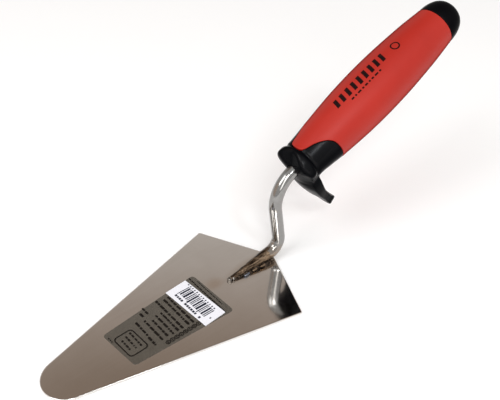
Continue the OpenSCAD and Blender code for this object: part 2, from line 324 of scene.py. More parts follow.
def make_weld(name, dark, mid, light, rough=(0.25, 0.6), tinted=False):
    m, nt, b = material(name)
    b.inputs["Metallic"].default_value = 1.0
    # long streaks along the foot, broken by patches
    streak = noise_tex(nt, coords(nt, (0.10, 1.1, 1.1)), 1.0, 5.0, 0.62, 0.4)
    patch = noise_tex(nt, coords(nt, (0.22, 0.3, 0.3)), 1.0, 4.0, 0.55, 0.6)
    fac = math_node(nt, "ADD", math_node(nt, "MULTIPLY", streak, 0.6), math_node(nt, "MULTIPLY", patch, 0.4))
    # the left flank is darker, the right shoulder near the heel lighter
    sp = node(nt, "ShaderNodeSeparateXYZ")
    tc = node(nt, "ShaderNodeTexCoord")
    nt.links.new(tc.outputs["Object"], sp.inputs[0])
    side = node(nt, "ShaderNodeMapRange")
    side.inputs["From Min"].default_value, side.inputs["From Max"].default_value = 0.004, -0.003
    k = 1.0 if tinted else 0.0
    side.inputs["To Min"].default_value, side.inputs["To Max"].default_value = -0.085 * k, 0.025 * k
    nt.links.new(sp.outputs["Y"], side.inputs["Value"])
    heel = node(nt, "ShaderNodeMapRange")
    heel.inputs["From Min"].default_value, heel.inputs["From Max"].default_value = 0.055, 0.077
    heel.inputs["To Min"].default_value, heel.inputs["To Max"].default_value = -0.035 * k, 0.035 * k
    nt.links.new(sp.outputs["X"], heel.inputs["Value"])
    fac = math_node(nt, "ADD", fac, math_node(nt, "ADD", side.outputs["Result"], heel.outputs["Result"]))
    col = ramp(nt, fac, [(0.36, dark), (0.47, mid), (0.60, light)])
    nt.links.new(col, b.inputs["Base Color"])
    ro = node(nt, "ShaderNodeMapRange")
    ro.inputs["To Min"].default_value, ro.inputs["To Max"].default_value = rough
    nt.links.new(patch, ro.inputs["Value"])
    nt.links.new(ro.outputs["Result"], b.inputs["Roughness"])
    grit = noise_tex(nt, coords(nt, (1.6, 1.6, 1.6)), 1.0, 4.0, 0.6)
    nt.links.new(bump(nt, math_node(nt, "ADD", streak, grit), 0.5, 0.0002), b.inputs["Normal"])
    return m


def facing_level(nt, b, near, edge, lo=0.45, hi=0.92):
    """Specular level that falls from near to edge as the surface turns away."""
    lw = node(nt, "ShaderNodeLayerWeight")
    lw.inputs["Blend"].default_value = 0.5
    mr = node(nt, "ShaderNodeMapRange", interpolation_type="SMOOTHSTEP")
    mr.inputs["From Min"].default_value, mr.inputs["From Max"].default_value = lo, hi
    mr.inputs["To Min"].default_value, mr.inputs["To Max"].default_value = near, edge
    nt.links.new(lw.outputs["Facing"], mr.inputs["Value"])
    nt.links.new(mr.outputs["Result"], b.inputs["Specular IOR Level"])
    return lw.outputs["Facing"]


def make_black(name, base, rough, grain=0.22, near=0.13):
    m, nt, b = material(name)
    blotch = noise_tex(nt, coords(nt, (0.10, 0.10, 0.10)), 1.0, 3.0, 0.5)
    vdi = noise_tex(nt, coords(nt, (2.6, 2.6, 2.6)), 1.0, 3.0, 0.7)
    nt.links.new(ramp(nt, blotch, [(0.3, tuple(0.8 * c for c in base) + (1,)), (0.7, tuple(1.2 * c for c in base) + (1,))]), b.inputs["Base Color"])
    ro = node(nt, "ShaderNodeMapRange")
    ro.inputs["To Min"].default_value = rough - 0.06
    ro.inputs["To Max"].default_value = rough + 0.08
    nt.links.new(blotch, ro.inputs["Value"])
    nt.links.new(ro.outputs["Result"], b.inputs["Roughness"])
    face = facing_level(nt, b, near, 0.012, 0.02, 0.36)
    rim = node(nt, "ShaderNodeMapRange", interpolation_type="SMOOTHSTEP")
    rim.inputs["From Min"].default_value, rim.inputs["From Max"].default_value = 0.60, 0.80
    rim.inputs["To Max"].default_value = 0.022
    nt.links.new(face, rim.inputs["Value"])
    level = b.inputs["Specular IOR Level"].links[0].from_socket
    nt.links.new(math_node(nt, "ADD", level, rim.outputs["Result"]), b.inputs["Specular IOR Level"])
    nt.links.new(bump(nt, vdi, grain, 0.00005), b.inputs["Normal"])
    return m


def make_red():
    m, nt, b = material("red_rubber")
    cloud = noise_tex(nt, coords(nt, (0.04, 0.04, 0.04)), 1.0, 3.0, 0.5)
    speck = noise_tex(nt, coords(nt, (3.2, 3.2, 3.2)), 1.0, 3.0, 0.7)
    col = ramp(nt, cloud, [(0.3, (0.372, 0.0155, 0.0078, 1)), (0.7, (0.408, 0.0180, 0.0092, 1))])
    ro = node(nt, "ShaderNodeMapRange")
    ro.inputs["To Min"].default_value = 0.42
    ro.inputs["To Max"].default_value = 0.52
    nt.links.new(cloud, ro.inputs["Value"])
    nt.links.new(ro.outputs["Result"], b.inputs["Roughness"])
    fac = facing_level(nt, b, 0.30, 0.01, 0.45, 0.78)
    # painted dark rim: the base colour darkens towards the silhouette, standing in for a grazing reflection of dark
    # surroundings
    edge = ramp(nt, fac, [(0.66, grey(0.0)), (0.90, grey(0.7))])
    nt.links.new(mix_rgb(nt, edge, col, (0.05, 0.004, 0.006, 1)), b.inputs["Base Color"])
    nt.links.new(bump(nt, speck, 0.30, 0.00005), b.inputs["Normal"])
    return m


def make_film():
    m, nt, b = material("clear_film")
    v = noise_tex(nt, coords(nt, (0.15, 0.15, 0.15)), 1.0, 4.0, 0.6)
    col = ramp(nt, v, [(0.3, (0.100, 0.092, 0.076, 1)), (0.7, (0.130, 0.118, 0.098, 1))])
    nt.links.new(col, b.inputs["Base Color"])
    b.inputs["Roughness"].default_value = 0.22
    b.inputs["Specular IOR Level"].default_value = 0.35
    al = node(nt, "ShaderNodeMapRange")
    al.inputs["To Min"].default_value = 0.36
    al.inputs["To Max"].default_value = 0.46
    nt.links.new(v, al.inputs["Value"])
    nt.links.new(al.outputs["Result"], b.inputs["Alpha"])
    wr = noise_tex(nt, coords(nt, (0.08, 0.2, 0.2)), 1.0, 2.0, 0.5)
    nt.links.new(bump(nt, wr, 0.15, 0.0001), b.inputs["Normal"])
    return m


def make_paper():
    m, nt, b = material("label_paper")
    f = noise_tex(nt, coords(nt, (1.5, 1.5, 1.5)), 1.0, 5.0, 0.7)
    nt.links.new(ramp(nt, f, [(0.3, (0.80, 0.80, 0.86, 1)), (0.7, (0.86, 0.86, 0.91, 1))]), b.inputs["Base Color"])
    b.inputs["Roughness"].default_value = 0.55
    nt.links.new(bump(nt, f, 0.2, 0.00003), b.inputs["Normal"])
    return m


def make_ink(name, base, rough=0.5):
    m, nt, b = material(name)
    f = noise_tex(nt, coords(nt, (1.2, 1.2, 1.2)), 1.0, 4.0, 0.7)
    nt.links.new(ramp(nt, f, [(0.35, tuple(base) + (1,)), (0.75, tuple(min(1, 2.2 * c + 0.004) for c in base) + (1,))]), b.inputs["Base Color"])
    b.inputs["Roughness"].default_value = rough
    b.inputs["Specular IOR Level"].default_value = 0.06
    nt.links.new(bump(nt, f, 0.15, 0.00002), b.inputs["Normal"])
    return m


M_BLADE = make_blade_steel()
M_NECK = make_neck_steel()
M_WELD = make_weld("weld_metal", (0.018, 0.012, 0.009, 1), (0.095, 0.064, 0.042, 1), (0.29, 0.205, 0.135, 1), (0.20, 0.45), True)
# dark weld metal on the right bead, partly painted shade standing in for the shadowed gap under the foot's near side
M_WELD_DARK_AND_PAINTED_SHADE = make_weld("weld_dark_and_painted_shade", (0.005, 0.004, 0.004, 1), (0.018, 0.012, 0.009, 1), (0.10, 0.075, 0.055, 1), (0.25, 0.55))
# painted glint: light bluish-grey metal for one drop, standing in for a highlight
M_PAINTED_GLINT = make_weld("weld_painted_glint", (0.06, 0.065, 0.08, 1), (0.16, 0.17, 0.20, 1), (0.30, 0.32, 0.37, 1), (0.22, 0.40))
M_BEAD = make_weld("weld_bright", (0.05, 0.04, 0.035, 1), (0.20, 0.18, 0.16, 1), (0.42, 0.39, 0.36, 1), (0.16, 0.35))
M_BLACK = make_black("black_plastic", (0.0020, 0.0022, 0.0030), 0.23, 0.16, 0.14)
M_CAP = make_black("cap_plastic", (0.0028, 0.0026, 0.0033), 0.34, 0.40, 0.05)
M_RED = make_red()
M_FILM = make_film()
M_PAPER = make_paper()
M_INK = make_ink("label_ink", (0.007, 0.005, 0.004))
M_INK_GRIP = make_ink("grip_ink", (0.007, 0.002, 0.002), 0.42)
M_INK_PAPER = make_ink("paper_ink", (0.012, 0.014, 0.024))

# ---------------------------------------------------------------- blade
def blade_outline():
    """Dense anticlockwise outline of the blade in plan."""
    tc_ = np.array([-HEEL_X + TIP_R, 0.0])
    cr = 1.0
    corner = np.array([HEEL_X - HEEL_SET, BLADE_W / 2])
    v = tc_ - corner
    l = np.linalg.norm(v)
    bb = math.asin(TIP_R / l)
    u = v / l
    sd = np.array([u[0] * math.cos(-bb) - u[1] * math.sin(-bb), u[1] * math.cos(-bb) + u[0] * math.sin(-bb)])
    side_end = corner + sd * l * math.cos(bb)
    hv = np.array([HEEL_X, 0]) - corner
    hd = hv / np.linalg.norm(hv)
    half = math.acos(sd @ hd) / 2
    cin = (sd + hd) / np.linalg.norm(sd + hd)
    cc = corner + cin * cr / math.sin(half)
    p, q = corner + sd * cr / math.tan(half), corner + hd * cr / math.tan(half)

    def line(a, b, step):
        n = max(1, int(np.linalg.norm(b - a) / step))
        return [a + (b - a) * i / n for i in range(n)]

    def arc(c, a, b, n, ccw):
        a0 = math.atan2(*(a - c)[::-1])
        a1 = math.atan2(*(b - c)[::-1])
        if ccw and a1 < a0:
            a1 += 2 * math.pi
        r = np.linalg.norm(a - c)
        return [c + r * np.array([math.cos(a0 + (a1 - a0) * i / n), math.sin(a0 + (a1 - a0) * i / n)]) for i in range(n)]

    m = np.array([1, -1])
    pts = []
    pts += line(np.array([HEEL_X - 0.0, 0.0]), q, 2.0)
    pts += arc(cc, q, p, 8, True)
    pts += line(p, side_end, 2.5)
    pts += arc(tc_, side_end, side_end * m, 72, True)
    pts += line(side_end * m, p * m, 2.5)
    pts += arc(cc * m, p * m, q * m, 8, True)
    pts += line(q * m, np.array([HEEL_X, 0.0]), 2.0)
    return np.array(pts)


def inset(outline, d):
    """Moves a dense anticlockwise outline inwards by d."""
    nxt, prv = np.roll(outline, -1, 0), np.roll(outline, 1, 0)
    e0 = outline - prv
    e1 = nxt - outline
    n0 = np.stack([-e0[:, 1], e0[:, 0]], 1) / np.linalg.norm(e0, axis=1)[:, None]
    n1 = np.stack([-e1[:, 1], e1[:, 0]], 1) / np.linalg.norm(e1, axis=1)[:, None]
    n = n0 + n1
    n /= (np.linalg.norm(n, axis=1) ** 2 / 2)[:, None]
    return outline + n * d


def build_blade():
    out = blade_outline()
    rings = [(0.85, BLADE_T), (0.45, BLADE_T), (0.16, BLADE_T - 0.05), (0.04, BLADE_T - 0.16), (0.0, BLADE_T - 0.34),
             (0.0, 0.34), (0.04, 0.16), (0.16, 0.05), (0.45, 0.0), (0.85, 0.0)]
    n = len(out)
    verts, faces = [], []
    for d, z in rings:
        o = inset(out, d)
        verts += [(x, y, z) for x, y in o]
    for r in range(len(rings) - 1):
        for i in range(n):
            j = (i + 1) % n
            faces.append([r * n + i, (r + 1) * n + i, (r + 1) * n + j, r * n + j])
    # even inner points keep the triangles regular over the flat
    o = inset(out, 0.85)
    inner = []
    for x in np.arange(-77, 79, 4.0):
        for y in np.arange(-46, 47, 4.0):
            inner.append((x, y))
    inner = np.array(inner)
    # keep those inside the convex outline
    keep = np.ones(len(inner), bool)
    for i in range(n):
        a, b = out[i], out[(i + 1) % n]
        e = (b - a) / np.linalg.norm(b - a)
        keep &= e[0] * (inner[:, 1] - a[1]) - e[1] * (inner[:, 0] - a[0]) > 1.4
    inner = inner[keep]
    coords2 = [Vector(p) for p in o] + [Vector(p) for p in inner]
    edges = [(i, (i + 1) % n) for i in range(n)]
    vo, _, fo, ov, _, _ = delaunay_2d_cdt(coords2, edges, [], 1, 1e-6)
    src = [v[0] for v in ov]
    base_in = len(verts)
    verts += [(x, y, BLADE_T) for x, y in inner] + [(x, y, 0.0) for x, y in inner]
    ni = len(inner)
    top = lambda k: k if k < n else base_in + (k - n)
    bot = lambda k: (len(rings) - 1) * n + k if k < n else base_in + ni + (k - n)
    for f in fo:
        k = [src[i] for i in f]
        faces.append([top(i) for i in k])
        faces.append([bot(i) for i in k][::-1])
    v = np.array(verts, float)
    return add_mesh("blade_sheet", v, faces, M_BLADE, ["blade"], sharp=50)


build_blade()

# ---------------------------------------------------------------- neck
def neck_path():
    """Stations along the bar: position in XZ, heading and radius."""
    P, H, R, L = [], [], [], []
    # blunt rounded point of the foot
    for k in range(6):
        a = math.radians(90 * k / 6)
        d = FOOT_R * (1 - math.cos(a))
        P.append(foot_start + d * np.array([math.cos(FOOT_A), math.sin(FOOT_A)]))
        H.append(FOOT_A)
        R.append(max(0.02, FOOT_R * math.sin(a)))
    n = 60
    for k in range(n):
        t = k / n
        d = FOOT_R + (FOOT_L - FOOT_R) * t
        P.append(foot_start + d * np.array([math.cos(FOOT_A), math.sin(FOOT_A)]))
        H.append(FOOT_A)
        R.append(FOOT_R + (NECK_R - FOOT_R) * t)
    n = 28
    for k in range(n):
        a = FOOT_A + (RISER_A - FOOT_A) * k / n
        P.append(low_c + LOW_R * np.array([math.sin(a), -math.cos(a)]))
        H.append(a)
        R.append(NECK_R)
    n = 12
    for k in range(n):
        P.append(low_end + (riser_end - low_end) * k / n)
        H.append(RISER_A)
        R.append(NECK_R)
    n = 32
    for k in range(n):
        a = RISER_A + (HANDLE_A - RISER_A) * k / n
        P.append(top_c + TOP_R * np.array([-math.sin(a), math.cos(a)]))
        H.append(a)
        R.append(NECK_R)
    n = 24
    for k in range(n + 1):
        P.append(top_end + AX * TANG_L * k / n)
        H.append(HANDLE_A)
        R.append(NECK_R)
    return np.array(P), np.array(H), np.array(R)


def build_neck():
    P, H, R = neck_path()
    n = 56
    rings = len(P)
    ph = np.arange(n) * 2 * math.pi / n
    step = np.r_[0, np.cumsum(np.linalg.norm(np.diff(P, axis=0), axis=1))]
    nx, nz = -np.sin(H), np.cos(H)
    cu, cv = np.cos(ph), np.sin(ph)
    X = P[:, 0][:, None] + R[:, None] * cu[None] * nx[:, None]
    Z = P[:, 1][:, None] + R[:, None] * cu[None] * nz[:, None]
    Y = R[:, None] * cv[None] + 0 * X
    v = np.stack([X, Y, Z], -1).reshape(-1, 3)
    # the foot is rough: ground and heated metal, with long shallow facets
    foot_w = np.clip((FOOT_L + 4 - step) / 7.0, 0, 1) ** 1.5
    w = np.repeat(foot_w, n)
    sel = np.where(w > 0)[0]
    q = v[sel].copy()
    q[:, 0] *= 0.22
    d = fbm(q, 0.75, 3.1, 3) * 0.30 + fbm(v[sel], 0.9, 8.7, 2) * 0.12
    out = np.stack([np.repeat(nx, n) * np.tile(cu, rings), np.tile(cv, rings), np.repeat(nz, n) * np.tile(cu, rings)], -1)
    rad = np.repeat(R, n)
    v[sel] += out[sel] * (d * w[sel] * np.clip(rad[sel] / 3.0, 0.2, 1))[:, None]
    # flat ground on the underside of the foot
    near = np.repeat(step < FOOT_L + 6, n)
    v[near, 2] = np.maximum(v[near, 2], BLADE_T + 0.002)
    # two flats on the tang's last part
    ta = step - (step[-1] - TANG_L * 0.4)
    fl = np.repeat(ta > 0, n)
    v[fl, 1] = np.clip(v[fl, 1], -NECK_R + 1, NECK_R - 1)
    f = grid_faces(rings, n, flip=True).tolist()
    v = np.vstack([v, [[foot_start[0], 0, foot_start[1]]], [[P[-1, 0], 0, P[-1, 1]]]])
    a, b = len(v) - 2, len(v) - 1
    f += [[a, j, (j + 1) % n] for j in range(n)]
    last = (rings - 1) * n
    f += [[b, last + (j + 1) % n, last + j] for j in range(n)]
    # foot faces take the weld-tinted metal, the rest the polished bar
    fm = np.zeros(len(f), int)
    for i, q in enumerate(f):
        r = min(q) // n if max(q) < rings * n else (0 if a in q else rings - 1)
        j = min(q) % n
        reach = FOOT_L - 0.6 + 1.4 * math.sin(3 * ph[j] + 0.6) + 0.8 * math.sin(7 * ph[j])
        fm[i] = 1 if step[min(r, rings - 1)] < reach else 0
    return add_mesh("neck_bar", v, f, [M_NECK, M_WELD], ["neck_rod"], face_mat=fm, sharp=55)


build_neck()


def weld_strip(side):
    """Rippled fillet bead along one side of the foot."""
    n, rings = 28, 120
    x0, x1 = foot_start[0] + 0.6, foot_end[0] + 1.5
    vs = []
    for k in range(rings):
        t = k / (rings - 1)
        x = x0 + (x1 - x0) * t
        d = (x - foot_start[0]) / math.cos(FOOT_A)
        rf = min(NECK_R, FOOT_R + (NECK_R - FOOT_R) * d / FOOT_L)
        w = (0.55 + 1.25 * min(1, t * 1.15)) * (1.0 if side > 0 else 1.12)
        ends = math.sqrt(max(0.0, 1 - (2 * t - 1) ** 8))
        rip = 1 + 0.13 * math.sin(2 * math.pi * x / 2.1) + 0.07 * math.sin(2 * math.pi * x / 0.9 + 1.3)
        if side < 0:
            rip += 0.20 * math.sin(2 * math.pi * x / 6.3 + 0.8)
        r = max(0.02, w * rip * ends)
        cy, cz = side * (rf * 0.82 + 0.15), BLADE_T + 0.10 + rf * 0.10
        for j in range(n):
            a = 2 * math.pi * j / n
            # chevron ripples: the crown of the bead lags the sides
            xx = x - 0.7 * abs(math.sin(a)) * ends
            vs.append((xx, cy + r * math.cos(a) * 1.05, cz + r * math.sin(a) * 1.15))
    v = np.array(vs)
    d = fbm(v, 0.8, 5.0 + side, 3) * 0.28
    c = np.repeat(np.array([[x0 + (x1 - x0) * k / (rings - 1), 0, 0] for k in range(rings)]), n, 0)
    rad = v - np.c_[c[:, 0], np.repeat([side * 3.0], len(v)), np.full(len(v), BLADE_T)]
    rad[:, 0] = 0
    rad /= np.maximum(np.linalg.norm(rad, axis=1), 1e-6)[:, None]
    v += rad * d[:, None]
    v[:, 2] = np.maximum(v[:, 2], BLADE_T + 0.001)
    f = grid_faces(rings, n).tolist()
    f.append(list(range(n))[::-1])
    f.append([(rings - 1) * n + j for j in range(n)])
    return v, f


def blob(c, r, seed, squash=0.7, n=20, m=14):
    """Small lumpy drop of metal."""
    vs = []
    for i in range(1, m):
        a = math.pi * i / m
        for j in range(n):
            b = 2 * math.pi * j / n
            vs.append((math.sin(a) * math.cos(b), math.sin(a) * math.sin(b), math.cos(a)))
    v = np.array(vs + [(0, 0, 1), (0, 0, -1)])
    k = 1 + 0.22 * fbm(v * 2.0, 0.8, seed, 2)
    v = v * k[:, None] * np.array([r[0], r[1], r[2]]) + np.array(c)
    v[:, 2] = np.maximum(v[:, 2], BLADE_T + 0.001)
    f = grid_faces(m - 1, n, flip=True).tolist()
    t, b_ = len(v) - 2, len(v) - 1
    f += [[t, j, (j + 1) % n] for j in range(n)]
    f += [[b_, (m - 2) * n + (j + 1) % n, (m - 2) * n + j] for j in range(n)]
    return v, f


def build_welds():
    v, f = weld_strip(1)
    add_mesh("weld_bead_left", v, f, M_WELD, ["weld_left"])
    v, f = weld_strip(-1)
    nf = len(f)
    # the first drop carries the painted glint, a light bluish colour standing in for a highlight
    drops = [((foot_end[0] - 20.5, -3.3, BLADE_T + 0.85), (2.3, 0.85, 0.85), 1.0),
             ((foot_end[0] - 14.0, -3.7, BLADE_T + 1.35), (2.0, 0.75, 0.75), 3.0),
             ((foot_end[0] - 8.5, -4.3, BLADE_T + 1.7), (2.3, 0.85, 0.9), 2.0)]
    parts = [(v, f)] + [blob(c, r, s) for c, r, s in drops]
    v2, f2 = join(parts)
    one = len(parts[1][1])
    fm = np.r_[np.zeros(nf, int), np.ones(one, int), np.full(len(f2) - nf - one, 2, int)]
    # the right bead's very dark metal is partly painted shade of the gap beneath the foot
    add_mesh("weld_bead_right", v2, f2, [M_WELD_DARK_AND_PAINTED_SHADE, M_PAINTED_GLINT, M_WELD], ["weld_right"], face_mat=fm)
    v, f = join([blob((foot_start[0] - 0.2, 0.1, BLADE_T + 0.75), (1.7, 1.75, 1.35), 6.0),
                 blob((foot_start[0] + 1.8, -1.0, BLADE_T + 1.0), (1.1, 0.9, 1.1), 7.0),
                 blob((foot_start[0] + 2.4, 1.1, BLADE_T + 0.9), (1.3, 0.8, 1.0), 9.0)])
    add_mesh("weld_drop_toe", v, f, M_BEAD, ["weld_toe"])


build_welds()

# ---------------------------------------------------------------- handle shapes
ST = [(0, 13.6), (12, 13.4), (25, 14.5), (40, 15.9), (55, 16.95), (72, 17.4), (88, 17.2), (102, 16.55), (118, 15.45), (133, 13.8), (145, 12.2)]
ST_S = np.array([a for a, _ in ST], float)
ST_R = np.array([b for _, b in ST], float)
_sl = np.empty(len(ST))
_sl[1:-1] = (ST_R[2:] - ST_R[:-2]) / (ST_S[2:] - ST_S[:-2])
_sl[0] = (ST_R[1] - ST_R[0]) / (ST_S[1] - ST_S[0])
_sl[-1] = (ST_R[-1] - ST_R[-2]) / (ST_S[-1] - ST_S[-2])


def outer_r(s):
    s = np.asarray(s, float)
    i = np.clip(np.searchsorted(ST_S, s, side="right") - 1, 0, len(ST) - 2)
    w = ST_S[i + 1] - ST_S[i]
    t = (s - ST_S[i]) / w
    t = np.clip(t, -0.5, 1.0)
    return ((2 * t ** 3 - 3 * t ** 2 + 1) * ST_R[i] + (t ** 3 - 2 * t ** 2 + t) * w * _sl[i]
            + (3 * t ** 2 - 2 * t ** 3) * ST_R[i + 1] + (t ** 3 - t ** 2) * w * _sl[i + 1])


# seam between the sleeve and the guard: distance along the axis at each angle above the side
SEAM_A = np.array([-90, -60, -30, -7, 5, 18, 28, 34, 40, 46, 52, 59, 65, 68, 71, 75, 81, 90], float)
SEAM_S = np.array([29.6, 29.6, 29.5, 29.2, 28.9, 28.4, 27.8, 27.1, 26.0, 24.5, 22.4, 19.4, 15.6, 13.2, 11.5, 10.3, 9.6, 9.3], float)


def pchip(x, y, q):
    """Monotone cubic interpolation."""
    h = np.diff(x)
    d = np.diff(y) / h
    m = np.zeros(len(x))
    for i in range(1, len(x) - 1):
        if d[i - 1] * d[i] > 0:
            w1, w2 = 2 * h[i] + h[i - 1], h[i] + 2 * h[i - 1]
            m[i] = (w1 + w2) / (w1 / d[i - 1] + w2 / d[i])
    i = np.clip(np.searchsorted(x, q, side="right") - 1, 0, len(x) - 2)
    t = (q - x[i]) / h[i]
    return ((2 * t ** 3 - 3 * t ** 2 + 1) * y[i] + (t ** 3 - 2 * t ** 2 + t) * h[i] * m[i]
            + (3 * t ** 2 - 2 * t ** 3) * y[i + 1] + (t ** 3 - t ** 2) * h[i] * m[i + 1])


_A = np.linspace(-90, 90, 1441)
_S = pchip(SEAM_A, SEAM_S, _A)
_k = np.ones(41) / 41
_S = np.convolve(np.r_[np.full(20, _S[0]), _S, np.full(20, _S[-1])], _k, "valid")
_G = np.gradient(_S, np.radians(_A))


def seam_s(deg):
    return np.interp(deg, _A, _S)


def seam_g(deg):
    return np.interp(deg, _A, _G)


def far_deg(deg):
    """The sleeve's tongue reaches a little further round on the left side."""
    return deg + 6.5 * np.exp(-((deg - 66.0) / 13.0) ** 2)


def build_grip():
    # columns equally spaced along the seam's own length
    a = _A
    r = outer_r(_S)
    ds = np.hypot(np.gradient(_S), r * np.radians(np.gradient(a)))
    L = np.r_[0, np.cumsum((ds[1:] + ds[:-1]) / 2)]
    half = 150
    th = np.interp(np.linspace(0, L[-1], half + 1), L, a)
    # right side from -90 up to 90, then the left side back down
    ang = np.r_[th, 180 - th[-2:0:-1]]
    sb = np.r_[seam_s(th), seam_s(far_deg(th[-2:0:-1]))] + 0.13
    cols = len(ang)
    ct, st_ = np.cos(np.radians(ang)), np.sin(np.radians(ang))
    rr = 0.42                        # edge rounding
    lip = 0.10                       # the soft sleeve stands a hair proud at its rims
    rows = []
    e = GRIP_END - 0.12
    rows.append((sb + 0.0, outer_r(sb) - SLEEVE_T))
    for k in range(7):
        b = math.radians(90 * k / 6)
        s = sb + rr * (1 - math.cos(b))
        rows.append((s, outer_r(s) + lip - rr * (1 - math.sin(b))))
    m = 130
    for k in range(1, m):
        t = k / m
        t = t * t * (3 - 2 * t) * 0.35 + t * 0.65
        s = sb + rr + (e - rr - sb - rr) * t
        rise = lip * np.exp(-((s - sb) / 1.6) ** 2) + lip * np.exp(-((e - s) / 1.6) ** 2)
        rows.append((s, outer_r(s) + rise))
    for k in range(7):
        b = math.radians(90 - 90 * k / 6)
        s = np.full(cols, e) - rr * (1 - math.cos(b))
        rows.append((s, outer_r(s) + lip - rr * (1 - math.sin(b))))
    rows.append((np.full(cols, e), outer_r(np.full(cols, e)) - SLEEVE_T))
    for k in range(1, 12):
        t = k / 12
        s = e + (sb - e) * t
        rows.append((s, outer_r(s) - SLEEVE_T))
    S = np.array([r_[0] for r_ in rows])
    R = np.array([r_[1] for r_ in rows])
    v = on_handle(S, R * st_[None], -R * ct[None]).reshape(-1, 3)
    f = grid_faces(len(rows), cols, close_rows=True, close_cols=True, flip=True)
    return add_mesh("grip_soft_sleeve", v, f, M_RED, ["grip_sleeve"], sharp=60)


build_grip()


# ---------------------------------------------------------------- guard, from a blended distance field
def smin(a, b, k):
    h = np.clip(0.5 + 0.5 * (b - a) / k, 0, 1)
    return b + (a - b) * h - k * h * (1 - h)


def smax(a, b, k):
    return -smin(-a, -b, k)


def rbox2(x, y, r):
    return np.hypot(np.maximum(x + r, 0), np.maximum(y + r, 0)) + np.minimum(np.maximum(x + r, y + r), 0) - r


# guard's centre line in the handle's plane: along, above, thickness, half width
HOOK = np.array([
    (5.2, -6.0, 9.4, 10.2), (5.6, -9.0, 9.6, 10.8), (6.2, -13.5, 9.2, 11.0), (6.9, -18.0, 8.4, 10.6), (7.8, -22.5, 7.6, 9.9),
    (9.0, -27.0, 6.9, 8.9), (10.6, -31.5, 6.3, 7.8), (12.3, -36.2, 5.8, 6.8), (14.1, -41.3, 5.9, 5.9), (16.7, -47.1, 6.8, 5.5)])


def dense(p, n):
    """Catmull-Rom through rows of points."""
    out = []
    q = np.vstack([2 * p[0] - p[1], p, 2 * p[-1] - p[-2]])
    for i in range(1, len(q) - 2):
        for k in range(n):
            t = k / n
            out.append(0.5 * ((2 * q[i]) + (-q[i - 1] + q[i + 1]) * t + (2 * q[i - 1] - 5 * q[i] + 4 * q[i + 1] - q[i + 2]) * t ** 2
                              + (-q[i - 1] + 3 * q[i] - 3 * q[i + 1] + q[i + 2]) * t ** 3))
    out.append(q[-2])
    return np.array(out)


HK = dense(HOOK, 5)
_d = np.diff(HK[:, :2], axis=0)
_len = np.hypot(_d[:, 0], _d[:, 1])
_cum = np.r_[0, np.cumsum(_len)]


def hook_plane(s, u):
    """Nearest place on the guard's centre line: signed offset, length past it, thickness, half width."""
    shape = np.broadcast(s, u).shape
    s = np.broadcast_to(s, shape).ravel()
    u = np.broadcast_to(u, shape).ravel()
    best = np.full(len(s), 1e9)
    off = np.zeros(len(s)); along = np.zeros(len(s))
    for i in range(len(_len)):
        a = HK[i, :2]
        t = _d[i] / _len[i]
        px, pu = s - a[0], u - a[1]
        l = px * t[0] + pu * t[1]
        hi = _len[i] if i < len(_len) - 1 else 1e9
        lc = np.clip(l, 0, hi)
        qx, qu = px - lc * t[0], pu - lc * t[1]
        d2 = qx * qx + qu * qu
        m = d2 < best
        best[m] = d2[m]
        sg = px * t[1] - pu * t[0]
        off[m] = (np.sign(sg) * np.sqrt(d2))[m]
        along[m] = (_cum[i] + lc)[m]
    T = np.interp(along, _cum, HK[:, 2])
    W = np.interp(along, _cum, HK[:, 3])
    return off.reshape(shape), along.reshape(shape), T.reshape(shape), W.reshape(shape)


COLLAR_R = 14.4


